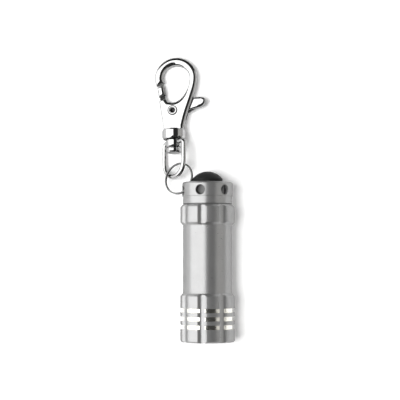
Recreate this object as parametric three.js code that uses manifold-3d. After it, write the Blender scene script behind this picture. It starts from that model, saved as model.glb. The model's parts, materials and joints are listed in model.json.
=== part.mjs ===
// Keychain flashlight: an aluminium torch with three LEDs and four button cells, hung from a
// split ring and a swivel snap hook. Millimetres, +Z up. It lies on its side: the torch runs
// along Y with its front face towards -Y, and the ring and the hook are laid out past its tail.
import * as THREE from "three";
import { mergeVertices } from "three/addons/utils/BufferGeometryUtils.js";
import Module from "manifold-3d";

const wasm = await Module();
wasm.setup();

// ---------------------------------------------------------------- driving dimensions
const LAND_RADIUS = 10; // head and grip ring
const TUBE_RADIUS = 9;
const CHAMFER = LAND_RADIUS - TUBE_RADIUS;

// Stations along the torch, from the front face.
const HEAD_END = 17.8;
const GRIP_START = 42.7;
const BARREL_END = 50.35;
const CAP_START = BARREL_END + 0.2;
const FLANGE_START = 53.3;
const FLANGE_END = 58.5;
const BUTTON_TOP = 62.5;

// Coolant grooves of the head, bright-cut.
const GROOVE_COUNT = 3;
const GROOVE_FIRST = 5.6;
const GROOVE_PITCH = 3;
const GROOVE_WIDTH = 1.5;
const GROOVE_DEPTH = 0.5;

// Flutes along the head and the grip ring, seen from the tail.
const FLUTE_COUNT = 8;
const FLUTE_TURN = -12; // degrees from straight up
const FLUTE_DEPTH = 0.7;
const FLUTE_CUTTER = 2.67; // radius

// Bores.
const LAMP_BORE = 8.4;
const LAMP_BORE_END = 14.6;
const CELL_BORE = 7;
const THREAD_BORE = 8;
const THREAD_BORE_START = 44.6;

// Lamp pieces.
const LAMP_RADIUS = LAMP_BORE - 0.2;
const LED_COUNT = 3;
const LED_CIRCLE = 4.2;
const LED_RADIUS = 2.5;

// LR44 button cells.
const CELL_COUNT = 4;
const CELL_RADIUS = 5.8;
const CELL_HEIGHT = 5.4;
const CELL_PITCH = 5.5;
const CELL_FIRST = 18.5;

// Tail cap.
const MALE_START = 44.9;
const MALE_RADIUS = 7.7;
const SWITCH_BORE = 6.6;
const CAP_RADIUS = 9.05;
const FLANGE_RADIUS = 9.3;
const RIM_INNER = 8.1;
const RECESS_FLOOR = 53.5;
const BOOT_STEP = 52.85; // the bore is wider below it, for the bead of the boot
const HUB_RADIUS = 6;
const HUB_TOP = 57.4;
const BOOT_BORE = 5.75;
const BOOT_RADIUS = 5.6;
const BOOT_DOME = 7; // sphere radius
const HOLE_COUNT = 6;
const HOLE_TURN = -77; // degrees from straight up, the hole that the ring goes through
const HOLE_STATION = 55.45;
const HOLE_RADIUS = 1.75;

// Split ring: two turns of flat wire.
const RING_CENTRE = new THREE.Vector3(-10.55, 60, 9.2);
const RING_NORMAL = new THREE.Vector3(-0.626, 0.279, 1).normalize();
const RING_RADIUS = 5.75; // to the middle of the wire
const RING_WIRE = { radial: 0.56, axial: 0.42 };
const RING_TURNS = 1.96;
const RING_PITCH = 0.46;

// Swivel and snap hook, along their own axis from the joint between them.
const CLIP_ORIGIN = new THREE.Vector3(-12.4, 74.75, 5.36);
const CLIP_TILT = -6.57; // degrees, the hook end lies down
const HOOK_ROLL = -5; // degrees, right side up
const EYE_ROLL = -50.5;
const EYE_WIRE = 0.9; // radius
const EYE_HALF_WIDTH = 5.7;
const EYE_BOTTOM = -14.05;
const HUB_LENGTH = 2.85;
const EYE_HUB_RADIUS = 3;
const POST_RADIUS = 1.35;
const COLLAR_RADIUS = 4.45;
const COLLAR_LENGTH = 3.7;
const HOOK_THICKNESS = 3.4;
const HOOK_EDGE = 0.7; // rounding
const PIVOT = { x: -0.5, y: 10.85 };
const SLOT = { low: -1, high: 1 }; // the gate's slot, across the thickness
const GATE_PLATE = { low: -0.85, high: 0.35 };
const GATE_THICKNESS = 2.9;

// ---------------------------------------------------------------- tools
const radians = THREE.MathUtils.degToRad;

// A geometry as a manifold-3d solid.
function solidOf(geometry) {
  const plain = geometry.index ? geometry.toNonIndexed() : geometry.clone();
  plain.deleteAttribute("normal");
  plain.deleteAttribute("uv");
  const merged = mergeVertices(plain, 1e-4);
  const vertProperties = merged.attributes.position.array;
  const triVerts = new Uint32Array(merged.index.array);
  return new wasm.Manifold(new wasm.Mesh({ numProp: 3, vertProperties, triVerts }));
}

function geometryOf(solid) {
  const { vertProperties, triVerts } = solid.getMesh();
  const geometry = new THREE.BufferGeometry();
  geometry.setAttribute("position", new THREE.BufferAttribute(vertProperties, 3));
  geometry.setIndex(new THREE.BufferAttribute(triVerts, 1));
  return geometry;
}

function cut(geometry, cutters) {
  const left = cutters.reduce((solid, cutter) => solid.subtract(solidOf(cutter)), solidOf(geometry));
  return geometryOf(left);
}

function join(geometries) {
  const [first, ...others] = geometries.map(solidOf);
  return geometryOf(others.reduce((solid, other) => solid.add(other), first));
}

// A solid turned about Y from [radius, station] points. A profile off the axis closes on itself.
function turned(profile, sides = 24) {
  const points = profile.map(([radius, station]) => new THREE.Vector2(radius, station));
  if (profile[0][0] > 0) points.push(points[0].clone());
  return new THREE.LatheGeometry(points, sides);
}

// The shape's own points as one polygon, with no two neighbours alike where its curves meet.
function flattened(shape) {
  const points = shape.getPoints(11);
  return new THREE.Shape(points.filter((point, i) => point.distanceTo(points.at(i - 1)) > 1e-3));
}

// A plate in XY from low to high, with rounded edges if edge is given.
function plate(shape, low, high, edge = 0) {
  const geometry = new THREE.ExtrudeGeometry(flattened(shape), {
    depth: high - low - 2 * edge,
    bevelEnabled: edge > 0,
    bevelThickness: edge,
    bevelSize: edge,
    bevelOffset: -edge,
    bevelSegments: 2,
    steps: 1,
  });
  return geometry.translate(0, 0, low + edge);
}

// A bar of the given section wound about Y: radiusAt and stationAt take 0 at its start, 1 at its end.
function wound(section, turns, steps, radiusAt, stationAt) {
  const geometry = new THREE.ExtrudeGeometry(section, { depth: 1, steps, bevelEnabled: false });
  const position = geometry.getAttribute("position");
  for (let i = 0; i < position.count; i += 1) {
    const along = position.getZ(i);
    const angle = -along * turns * 2 * Math.PI;
    const radius = radiusAt(along) + position.getX(i);
    position.setXYZ(i, radius * Math.sin(angle), position.getY(i) + stationAt(along), radius * Math.cos(angle));
  }
  return geometry;
}

// A round wire's section.
function wireSection(radius, sides) {
  const corners = [];
  for (let i = 0; i < sides; i += 1) {
    const angle = (i * 2 * Math.PI) / sides;
    corners.push(new THREE.Vector2(radius * Math.cos(angle), radius * Math.sin(angle)));
  }
  return new THREE.Shape(corners);
}

function rectangle(width, height) {
  const [x, y] = [width / 2, height / 2];
  return new THREE.Shape([
    new THREE.Vector2(-x, -y),
    new THREE.Vector2(x, -y),
    new THREE.Vector2(x, y),
    new THREE.Vector2(-x, y),
  ]);
}

function polygon(points) {
  return new THREE.Shape(points.map(([x, y]) => new THREE.Vector2(x, y)));
}

function finish(color, roughness, metalness) {
  return new THREE.MeshStandardMaterial({ color, roughness, metalness });
}

const anodised = finish(0x8d8f92, 0.35, 1);
const chrome = finish(0xd8d8da, 0.08, 1);
const brass = finish(0xb9975a, 0.3, 1);
const rubber = finish(0x1d1d1e, 0.8, 0);
const blackPlastic = finish(0x242426, 0.5, 0);
const clearPlastic = finish(0xe8f0f2, 0.05, 0);
const steel = finish(0xbfc1c4, 0.25, 1);

function named(name, geometry, material) {
  const mesh = new THREE.Mesh(geometry, material);
  mesh.name = name;
  return mesh;
}

// ---------------------------------------------------------------- barrel
function groovePoints() {
  const points = [];
  for (let i = 0; i < GROOVE_COUNT; i += 1) {
    const low = GROOVE_FIRST + i * GROOVE_PITCH - GROOVE_WIDTH / 2;
    const high = low + GROOVE_WIDTH;
    const floor = LAND_RADIUS - GROOVE_DEPTH;
    points.push([LAND_RADIUS, low], [floor, low], [floor, high], [LAND_RADIUS, high]);
  }
  return points;
}

function fluteCutters() {
  const cutters = [];
  for (let i = 0; i < FLUTE_COUNT; i += 1) {
    const cutter = new THREE.CylinderGeometry(FLUTE_CUTTER, FLUTE_CUTTER, BARREL_END + 2, 16);
    cutter.translate(0, BARREL_END / 2, LAND_RADIUS - FLUTE_DEPTH + FLUTE_CUTTER);
    cutters.push(cutter.rotateY(radians(FLUTE_TURN + (i * 360) / FLUTE_COUNT)));
  }
  return cutters;
}

function barrel() {
  const frontEdge = 0.5;
  const blank = turned(
    [
      [LAMP_BORE, 0],
      [LAND_RADIUS - frontEdge, 0],
      [LAND_RADIUS, frontEdge],
      ...groovePoints(),
      [LAND_RADIUS, HEAD_END - CHAMFER],
      [TUBE_RADIUS, HEAD_END],
      [TUBE_RADIUS, GRIP_START],
      [LAND_RADIUS, GRIP_START + CHAMFER],
      [LAND_RADIUS, BARREL_END - CHAMFER],
      [TUBE_RADIUS, BARREL_END],
      [THREAD_BORE, BARREL_END],
      [THREAD_BORE, THREAD_BORE_START],
      [CELL_BORE, THREAD_BORE_START - 1],
      [CELL_BORE, LAMP_BORE_END],
      [LAMP_BORE, LAMP_BORE_END],
    ],
    48,
  );
  return named("barrel", cut(blank, fluteCutters()), anodised);
}

// ---------------------------------------------------------------- lamp
function bezelRing() {
  const profile = [
    [7.6, 0.3],
    [8.3, 0.3],
    [8.3, 1.95],
    [7.1, 1.95],
    [7.1, 0.9],
  ];
  return named("bezel_ring", turned(profile), anodised);
}

function lens() {
  const profile = [
    [0, 2.1],
    [LAMP_RADIUS - 0.2, 2.1],
    [LAMP_RADIUS, 2.3],
    [LAMP_RADIUS, 3.3],
    [0, 3.3],
  ];
  return named("lens", turned(profile), clearPlastic);
}

function lensGasket() {
  const profile = [
    [7.4, 3.45],
    [LAMP_RADIUS, 3.45],
    [LAMP_RADIUS, 3.9],
    [7.4, 3.9],
  ];
  return named("lens_gasket", turned(profile), rubber);
}

function roundTheLamp(geometry, index) {
  return geometry.translate(0, 0, LED_CIRCLE).rotateY((index * 2 * Math.PI) / LED_COUNT);
}

function reflector() {
  const front = 4;
  const back = 11.5;
  const cups = [];
  for (let i = 0; i < LED_COUNT; i += 1) {
    const cup = turned(
      [
        [0, front - 0.1],
        [3.5, front - 0.1],
        [2.65, back + 0.1],
        [0, back + 0.1],
      ],
      16,
    );
    cups.push(roundTheLamp(cup, i));
  }
  const blank = turned([
    [0, front],
    [LAMP_RADIUS, front],
    [LAMP_RADIUS, back],
    [0, back],
  ]);
  return named("reflector", cut(blank, cups), chrome);
}

function led(index) {
  const body = turned(
    [
      [0, 4.5],
      [1, 4.7],
      [1.9, 5.4],
      [2.4, 6.3],
      [LED_RADIUS, 7],
      [LED_RADIUS, 11.9],
      [LED_RADIUS + 0.4, 11.9],
      [LED_RADIUS + 0.4, 12.9],
      [0, 12.9],
    ],
    12,
  );
  return named(`led_${index + 1}`, roundTheLamp(body, index), clearPlastic);
}

function ledBoard() {
  const profile = [
    [0, 13.15],
    [LAMP_RADIUS, 13.15],
    [LAMP_RADIUS, 14.3],
    [0, 14.3],
  ];
  return named("led_board", turned(profile), blackPlastic);
}

function contactSpring(name, start, end, startRadius, endRadius, turns) {
  const wire = 0.25;
  const stationAt = (along) => THREE.MathUtils.lerp(start + wire, end - wire, along);
  const radiusAt = (along) => THREE.MathUtils.lerp(startRadius, endRadius, along);
  return named(name, wound(wireSection(wire, 6), turns, turns * 10, radiusAt, stationAt), steel);
}

// ---------------------------------------------------------------- cells
function batterySleeve() {
  const profile = [
    [6, 18.4],
    [6.85, 18.4],
    [6.85, 41.4],
    [6, 41.4],
  ];
  return named("battery_sleeve", turned(profile), blackPlastic);
}

function cell(index) {
  const low = CELL_FIRST + index * CELL_PITCH;
  const profile = [
    [0, low],
    [CELL_RADIUS - 0.2, low],
    [CELL_RADIUS, low + 0.2],
    [CELL_RADIUS, low + CELL_HEIGHT - 0.5],
    [CELL_RADIUS - 0.8, low + CELL_HEIGHT - 0.3],
    [CELL_RADIUS - 0.9, low + CELL_HEIGHT],
    [0, low + CELL_HEIGHT],
  ];
  return named(`cell_${index + 1}`, turned(profile, 20), steel);
}

// ---------------------------------------------------------------- tail cap
function holeCutters() {
  const cutters = [];
  for (let i = 0; i < HOLE_COUNT; i += 1) {
    const turn = radians(HOLE_TURN + (i * 360) / HOLE_COUNT);
    const drill = new THREE.CylinderGeometry(HOLE_RADIUS, HOLE_RADIUS, 3, 16);
    const sink = new THREE.CylinderGeometry(HOLE_RADIUS + 0.45, HOLE_RADIUS, 0.45, 16);
    drill.rotateX(Math.PI / 2).translate(0, HOLE_STATION, (RIM_INNER + FLANGE_RADIUS) / 2);
    sink.rotateX(Math.PI / 2).translate(0, HOLE_STATION, FLANGE_RADIUS - 0.1);
    cutters.push(drill.rotateY(turn), sink.rotateY(turn));
  }
  return cutters;
}

function tailcap() {
  const edge = 0.6;
  const blank = turned(
    [
      [SWITCH_BORE, MALE_START],
      [MALE_RADIUS - 0.4, MALE_START],
      [MALE_RADIUS, MALE_START + 0.4],
      [MALE_RADIUS, 49.1],
      [MALE_RADIUS - 0.7, 49.1],
      [MALE_RADIUS - 0.7, 50.3],
      [MALE_RADIUS, 50.3],
      [MALE_RADIUS, CAP_START],
      [CAP_RADIUS, CAP_START],
      [CAP_RADIUS, FLANGE_START],
      [FLANGE_RADIUS, FLANGE_START],
      [FLANGE_RADIUS, FLANGE_END - edge],
      [FLANGE_RADIUS - 0.2, FLANGE_END - 0.2],
      [FLANGE_RADIUS - edge, FLANGE_END],
      [RIM_INNER + 0.2, FLANGE_END],
      [RIM_INNER, FLANGE_END - 0.2],
      [RIM_INNER, RECESS_FLOOR],
      [HUB_RADIUS, RECESS_FLOOR],
      [HUB_RADIUS, HUB_TOP],
      [BOOT_BORE, HUB_TOP],
      [BOOT_BORE, BOOT_STEP],
      [SWITCH_BORE, BOOT_STEP],
    ],
    36,
  );
  return named("tailcap", cut(blank, holeCutters()), anodised);
}

function tailSeal() {
  const section = wireSection(0.42, 6).getPoints();
  const profile = section.slice(0, 6).map((point) => [7.45 + point.x, 49.7 + point.y]);
  return named("tail_seal", turned(profile, 32), rubber);
}

function buttonBoot() {
  const wall = 0.9;
  const domeCentre = BUTTON_TOP - BOOT_DOME;
  const start = Math.asin(BOOT_RADIUS / BOOT_DOME);
  const dome = [];
  const steps = 4;
  for (let i = 0; i <= steps; i += 1) {
    const angle = start * (1 - i / steps);
    dome.push([BOOT_DOME * Math.sin(angle), domeCentre + BOOT_DOME * Math.cos(angle)]);
  }
  const profile = [
    [0, BUTTON_TOP - wall],
    [3, BUTTON_TOP - wall - 0.7],
    [BOOT_RADIUS - wall, BUTTON_TOP - 2.9],
    [BOOT_RADIUS - wall, 51.9],
    [BOOT_RADIUS + 0.6, 51.9],
    [BOOT_RADIUS + 0.6, 52.7],
    [BOOT_RADIUS, 52.7],
    ...dome,
  ];
  profile[profile.length - 1][0] = 0;
  return named("button_boot", turned(profile, 28), rubber);
}

function switchPlunger() {
  const profile = [
    [0, 49.2],
    [1.9, 49.2],
    [1.9, 58.2],
    [3.6, 58.9],
    [3.6, 59.6],
    [2.4, 60.6],
    [0, 60.8],
  ];
  return named("switch_plunger", turned(profile, 16), blackPlastic);
}

function switchHousing() {
  const profile = [
    [0, 46.3],
    [6.3, 46.3],
    [6.3, 50.6],
    [2.3, 50.6],
    [2.3, 47.6],
    [0, 47.6],
  ];
  return named("switch_housing", turned(profile), blackPlastic);
}

function switchRetainingRing() {
  const profile = [
    [3.1, 45.1],
    [6.4, 45.1],
    [6.4, 46.1],
    [3.1, 46.1],
  ];
  const notches = [-1, 1].map((side) => new THREE.BoxGeometry(1.4, 0.8, 1.4).translate(side * 4.8, 45.1, 0));
  return named("switch_retaining_ring", cut(turned(profile), notches), brass);
}

// ---------------------------------------------------------------- split ring
function splitRing() {
  const stationAt = (along) => RING_PITCH * RING_TURNS * (along - 0.5);
  const section = rectangle(RING_WIRE.radial, RING_WIRE.axial);
  const ring = named("split_ring", wound(section, RING_TURNS, 64, () => RING_RADIUS, stationAt), chrome);
  ring.position.copy(RING_CENTRE);
  ring.quaternion.setFromUnitVectors(new THREE.Vector3(0, 1, 0), RING_NORMAL);
  return ring;
}

// ---------------------------------------------------------------- swivel
function eyeLoop() {
  const corner = 1.2;
  const top = -0.95;
  const arcCentre = EYE_BOTTOM + EYE_HALF_WIDTH;
  const outline = new THREE.Path();
  outline.moveTo(-2.2, top);
  outline.lineTo(-EYE_HALF_WIDTH + corner, top);
  outline.absarc(-EYE_HALF_WIDTH + corner, top - corner, corner, Math.PI / 2, Math.PI, false);
  outline.lineTo(-EYE_HALF_WIDTH, arcCentre);
  outline.absarc(0, arcCentre, EYE_HALF_WIDTH, Math.PI, 2 * Math.PI, false);
  outline.lineTo(EYE_HALF_WIDTH, top - corner);
  outline.absarc(EYE_HALF_WIDTH - corner, top - corner, corner, 0, Math.PI / 2, false);
  outline.lineTo(2.2, top);
  const points = outline.getSpacedPoints(64).map((point) => new THREE.Vector3(point.x, point.y, 0));
  const route = new THREE.CatmullRomCurve3(points, false, "centripetal");
  return new THREE.ExtrudeGeometry(wireSection(EYE_WIRE, 8), { extrudePath: route, steps: 40 });
}

function swivelEye() {
  const hub = turned(
    [
      [0, -HUB_LENGTH - 0.1],
      [EYE_HUB_RADIUS - 0.3, -HUB_LENGTH - 0.1],
      [EYE_HUB_RADIUS, -HUB_LENGTH + 0.2],
      [EYE_HUB_RADIUS, -0.4],
      [EYE_HUB_RADIUS - 0.3, -0.12],
      [0, -0.12],
    ],
    24,
  );
  const bore = new THREE.CylinderGeometry(POST_RADIUS + 0.2, POST_RADIUS + 0.2, 8, 24);
  const eye = named("swivel_eye", cut(join([hub, eyeLoop()]), [bore]), chrome);
  eye.rotation.y = radians(EYE_ROLL);
  return eye;
}

function swivelPost() {
  const profile = [
    [0, -5.45],
    [1.4, -5.35],
    [2.3, -5],
    [2.8, -4.4],
    [2.8, -3.1],
    [POST_RADIUS, -3.1],
    [POST_RADIUS, 2.2],
    [0, 2.2],
  ];
  return named("swivel_post", turned(profile, 24), chrome);
}

// ---------------------------------------------------------------- snap hook
// The hook's outline: a tapered shank that opens into a round loop with a gap for the gate.
function hookOutline() {
  const loop = { x: 0.7, y: 23.35, radius: 7.9 };
  const hole = { x: 0.87, y: 23.25, radius: 4.95 };
  const tipAngle = radians(203);
  const innerTipAngle = radians(200);
  const shape = new THREE.Shape();
  shape.moveTo(-3.7, 3);
  shape.lineTo(3.6, 3);
  shape.bezierCurveTo(4.5, 10.75, loop.x + loop.radius, 17.55, loop.x + loop.radius, loop.y);
  shape.absarc(loop.x, loop.y, loop.radius, 0, tipAngle, false);
  shape.absarc(hole.x, hole.y, hole.radius, innerTipAngle, 0, true);
  shape.bezierCurveTo(hole.x + hole.radius, 19.3, 2.9, 14, -0.6, 14);
  shape.lineTo(-2.3, 14.2);
  shape.lineTo(-3.2, 15.65);
  shape.lineTo(-5.6, 14.55);
  shape.closePath();
  return shape;
}

// The slot that the gate turns in: open at the right side, at the left shoulder and into the loop.
function gateSlot() {
  const shape = polygon([
    [-1.9, 8.55],
    [2.5, 7.55],
    [9.5, 6.35],
    [9.5, 16.45],
    [5.4, 15.85],
    [1.3, 14.35],
    [-0.6, 14.35],
    [-1, 17.05],
    [-9, 18.05],
    [-9, 14.95],
    [-5.9, 14.65],
  ]);
  return plate(shape, SLOT.low, SLOT.high);
}

function pivotDrill(radius) {
  const drill = new THREE.CylinderGeometry(radius, radius, 12, 20);
  return drill.rotateX(Math.PI / 2).translate(PIVOT.x, PIVOT.y, 0);
}

function hookBody() {
  const half = HOOK_THICKNESS / 2;
  const hook = plate(hookOutline(), -half, half, HOOK_EDGE);
  const collar = turned(
    [
      [0, 0],
      [COLLAR_RADIUS - 0.4, 0],
      [COLLAR_RADIUS, 0.4],
      [COLLAR_RADIUS, COLLAR_LENGTH - 0.4],
      [COLLAR_RADIUS - 0.4, COLLAR_LENGTH],
      [0, COLLAR_LENGTH],
    ],
    24,
  );
  const postBore = new THREE.CylinderGeometry(POST_RADIUS + 0.15, POST_RADIUS + 0.15, 4.8, 24);
  return named("hook_body", cut(join([hook, collar]), [gateSlot(), pivotDrill(1.1), postBore]), chrome);
}

function gateLever() {
  const arm = polygon([
    [-5.3, 15.25],
    [-2.6, 9.85],
    [-0.5, 8.65],
    [2, 8.85],
    [6.2, 10.45],
    [8.3, 11.65],
    [8.3, 15.15],
    [5.5, 14.85],
    [1.2, 12.95],
    [-1.6, 12.85],
    [-3.3, 15.85],
    [-3.8, 17.55],
    [-5.3, 17.55],
  ]);
  const finger = polygon([
    [-5.65, 16.05],
    [-3.15, 16.85],
    [-3.9, 21.05],
    [-6.3, 19.65],
  ]);
  const tab = new THREE.Shape();
  tab.moveTo(6.3, 11.15);
  tab.lineTo(9.6, 12);
  tab.bezierCurveTo(12.6, 12.8, 12.6, 15.95, 10, 15.95);
  tab.lineTo(7.55, 15.65);
  tab.closePath();
  const half = GATE_THICKNESS / 2;
  const lever = join([
    plate(arm, GATE_PLATE.low, GATE_PLATE.high),
    plate(finger, -half, half, 0.6),
    plate(tab, -half, half, 0.6),
  ]);
  return named("gate_lever", cut(lever, [pivotDrill(1.15)]), chrome);
}

function gateRivet() {
  const half = HOOK_THICKNESS / 2;
  const profile = [
    [0, -half - 0.4],
    [1.6, -half - 0.4],
    [1.9, -half - 0.1],
    [0.95, -half - 0.1],
    [0.95, half + 0.1],
    [1.9, half + 0.1],
    [1.6, half + 0.4],
    [1.3, half + 0.4],
    [0.8, half - 0.3],
    [0, half - 0.4],
  ];
  const rivet = turned(profile, 20).rotateX(Math.PI / 2).translate(PIVOT.x, PIVOT.y, 0);
  return named("gate_rivet", rivet, chrome);
}

function gateSpring() {
  const wire = 0.12;
  const low = GATE_PLATE.high + 0.08 + wire;
  const high = SLOT.high - 0.05 - wire;
  const stationAt = (along) => THREE.MathUtils.lerp(low, high, along);
  const coil = wound(wireSection(wire, 5), 1.4, 16, () => 1.45, stationAt);
  return named("gate_spring", coil.rotateX(Math.PI / 2).translate(PIVOT.x, PIVOT.y, 0), steel);
}

// ---------------------------------------------------------------- assembly
function torch() {
  const group = new THREE.Group();
  group.add(barrel(), bezelRing(), lens(), lensGasket(), reflector());
  for (let i = 0; i < LED_COUNT; i += 1) group.add(led(i));
  group.add(ledBoard(), contactSpring("front_contact_spring", 14.4, 18.4, 3.4, 2.4, 3));
  group.add(batterySleeve());
  for (let i = 0; i < CELL_COUNT; i += 1) group.add(cell(i));
  group.add(tailcap(), tailSeal(), buttonBoot(), switchPlunger(), switchHousing(), switchRetainingRing());
  group.add(contactSpring("tail_contact_spring", 40.5, 46.2, 2, 2.5, 4));
  group.position.z = LAND_RADIUS;
  return group;
}

function clip() {
  const hook = new THREE.Group();
  hook.add(swivelPost(), hookBody(), gateLever(), gateRivet(), gateSpring());
  hook.rotation.y = radians(HOOK_ROLL);
  const group = new THREE.Group();
  group.add(swivelEye(), hook);
  group.position.copy(CLIP_ORIGIN);
  group.rotation.x = radians(CLIP_TILT);
  return group;
}

// The origin is under the middle of the whole part, on the surface that it lies on.
function centred(...pieces) {
  const group = new THREE.Group();
  group.add(...pieces);
  const box = new THREE.Box3().setFromObject(group, true);
  const middle = box.getCenter(new THREE.Vector3());
  group.position.set(-middle.x, -middle.y, -box.min.z);
  return group;
}

const flashlight = new THREE.Group();
flashlight.add(centred(torch(), splitRing(), clip()));

export default flashlight;
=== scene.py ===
"""Looks of the keychain flashlight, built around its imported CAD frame.

Shapes are worked out in millimetres, in the frame of the part they belong to, and placed in the CAD frame
by the joints: the torch from its screw joint, the ring, the eye and the hook from theirs.
"""

import json
import math

import bmesh
import bpy
import numpy as np
from mathutils import Matrix, Vector


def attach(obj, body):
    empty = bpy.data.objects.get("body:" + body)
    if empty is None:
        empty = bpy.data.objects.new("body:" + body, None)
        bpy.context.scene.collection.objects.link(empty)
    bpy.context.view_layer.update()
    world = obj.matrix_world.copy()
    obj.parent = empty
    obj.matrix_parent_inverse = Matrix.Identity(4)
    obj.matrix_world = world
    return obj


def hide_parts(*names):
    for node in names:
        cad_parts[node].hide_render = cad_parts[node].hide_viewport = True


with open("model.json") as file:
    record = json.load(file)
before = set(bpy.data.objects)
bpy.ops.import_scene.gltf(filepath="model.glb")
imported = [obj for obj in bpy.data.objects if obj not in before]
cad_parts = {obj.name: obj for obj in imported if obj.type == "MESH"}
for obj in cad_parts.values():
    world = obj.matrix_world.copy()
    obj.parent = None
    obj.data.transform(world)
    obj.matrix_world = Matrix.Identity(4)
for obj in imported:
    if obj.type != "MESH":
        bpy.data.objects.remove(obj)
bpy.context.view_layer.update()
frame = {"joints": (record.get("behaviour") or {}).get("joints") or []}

MM = 0.001
TAU = 2 * math.pi
JOINTS = {joint["name"]: joint for joint in frame["joints"]}

# ------------------------------------------------------------ driving dimensions, mm
LAND_RADIUS = 10.0
TUBE_RADIUS = 9.0
HEAD_END = 17.8
GRIP_START = 42.7
BARREL_END = 50.35
GROOVES = (5.6, 8.6, 11.6)  # middle stations
GROOVE_WIDTH = 1.5
GROOVE_DEPTH = 0.5
FLUTE_COUNT = 8
FLUTE_TURN = -12.0
FLUTE_DEPTH = 0.7
FLUTE_CUTTER = 2.67
LAMP_BORE = 8.4
LAMP_BORE_END = 14.6
CELL_BORE = 7.0
THREAD_BORE = 8.0
THREAD_BORE_START = 44.6
LAMP_RADIUS = LAMP_BORE - 0.2
LED_CIRCLE = 4.2
LED_COUNT = 3
LED_RADIUS = 2.5
CELL_COUNT = 4
CELL_RADIUS = 5.8
CELL_HEIGHT = 5.4
CELL_PITCH = 5.5
CELL_FIRST = 18.5
CAP_START = 50.55
CAP_RADIUS = 9.05
CAP_BORE = 6.6
NECK_START = 44.9
THREAD_CREST = 7.7
THREAD_START = 45.35
THREAD_END = 49.0
THREAD_PITCH = 1.0
THREAD_DEPTH = 0.42
THREAD_RUN_OUT = 0.4
THREAD_SET_BACK = 0.04
SEAL_FLOOR = 7.0
SEAL_START = 49.1
SEAL_END = 50.3
FLANGE_START = 53.3
FLANGE_END = 58.5
FLANGE_RADIUS = 9.3
RIM_INNER = 8.1
RECESS_FLOOR = 53.5
BOOT_STEP = 52.85
BOOT_BORE = 5.75
BOOT_RADIUS = 5.6
HUB_RADIUS = 6.0
HUB_TOP = 57.4
BUTTON_TOP = 62.5
HOLE_COUNT = 6
HOLE_TURN = -77.0
HOLE_STATION = 55.45
HOLE_RADIUS = 1.75
RING_RADIUS = 5.75
RING_TURNS = 1.96
RING_PITCH = 0.46
EYE_ROLL = -50.5
EYE_WIRE = 0.9
EYE_HALF_WIDTH = 5.7
EYE_BOTTOM = -14.05
HOOK_THICKNESS = 3.4
HOOK_EDGE = 1.45  # rounding, across
HOOK_DROP = 0.95  # rounding, down the thickness
GATE_THICKNESS = 2.9
ARM_LOW = -0.85
ARM_HIGH = 0.35
SLOT_HALF = 1.0
PIVOT = (-0.5, 10.85)


# ------------------------------------------------------------ placing
def placement(origin, x_axis, y_axis, z_axis):
    """A frame in metres: its axes as columns, with millimetres along them."""
    columns = [Vector(axis) * MM for axis in (x_axis, y_axis, z_axis)]
    matrix = Matrix.Identity(4)
    for column, axis in enumerate([*columns, Vector(origin)]):
        matrix.col[column] = (*axis, 1.0 if column == 3 else 0.0)
    return matrix


def torch_place():
    return placement(JOINTS["cap_turn"]["pos_m"], (1, 0, 0), (0, 1, 0), (0, 0, 1))


def hook_place():
    along = Vector(JOINTS["clip_swivel"]["axis"]).normalized()
    up = -Vector(JOINTS["gate_open"]["axis"]).normalized()
    return placement(JOINTS["clip_swivel"]["pos_m"], along.cross(up), along, up)


def eye_place():
    along = Vector(JOINTS["clip_swivel"]["axis"]).normalized()
    level = Vector((1, 0, 0))
    side = Matrix.Rotation(math.radians(EYE_ROLL), 3, along) @ level
    return placement(JOINTS["clip_swivel"]["pos_m"], side, along, side.cross(along))


def ring_place():
    normal = Vector(JOINTS["eye_round_ring"]["axis"]).normalized()
    turn = Vector((0, 1, 0)).rotation_difference(normal).to_matrix()
    return placement(JOINTS["eye_round_ring"]["pos_m"], turn.col[0], turn.col[1], turn.col[2])


TORCH = torch_place()
HOOK = hook_place()
EYE = eye_place()
RING = ring_place()


# ------------------------------------------------------------ profiles
def rounded(corners, closed=True, steps=5):
    """[radius, station, fillet] corners as a polyline with each fillet drawn as an arc."""
    points = []
    count = len(corners)
    for i, corner in enumerate(corners):
        here = np.array(corner[:2], float)
        fillet = corner[2] if len(corner) > 2 else 0.0
        if fillet <= 0 or (not closed and i in (0, count - 1)):
            points.append(here)
            continue
        before = np.array(corners[i - 1][:2], float) - here
        after = np.array(corners[(i + 1) % count][:2], float) - here
        lengths = np.linalg.norm(before), np.linalg.norm(after)
        before, after = before / lengths[0], after / lengths[1]
        half = math.acos(np.clip(before @ after, -1, 1)) / 2
        reach = min(fillet / math.tan(half), 0.48 * min(lengths))
        radius = reach * math.tan(half)
        middle = here + (before + after) / np.linalg.norm(before + after) * radius / math.sin(half)
        start = here + before * reach - middle
        sweep = math.pi - 2 * half
        if start[0] * (after - before)[1] - start[1] * (after - before)[0] < 0:
            sweep = -sweep
        for k in range(steps + 1):
            angle = sweep * k / steps
            turn = np.array([[math.cos(angle), -math.sin(angle)], [math.sin(angle), math.cos(angle)]])
            points.append(middle + turn @ start)
    return points


def densified(points, step, closed=True):
    """The polyline with no stretch longer than step."""
    out = []
    last = len(points) if closed else len(points) - 1
    for i in range(last):
        here, there = np.array(points[i]), np.array(points[(i + 1) % len(points)])
        pieces = max(1, math.ceil(np.linalg.norm(there - here) / step))
        out.extend(here + (there - here) * k / pieces for k in range(pieces))
    if not closed:
        out.append(np.array(points[-1]))
    return out


# ------------------------------------------------------------ meshes
def object_of(name, vertices, faces, place):
    mesh = bpy.data.meshes.new(name)
    mesh.from_pydata([tuple(v) for v in vertices], [], faces)
    mesh.transform(place)
    made = bpy.data.objects.new(name, mesh)
    bpy.context.scene.collection.objects.link(made)
    tidy = bmesh.new()
    tidy.from_mesh(mesh)
    bmesh.ops.recalc_face_normals(tidy, faces=tidy.faces)
    tidy.to_mesh(mesh)
    tidy.free()
    return made


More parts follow.
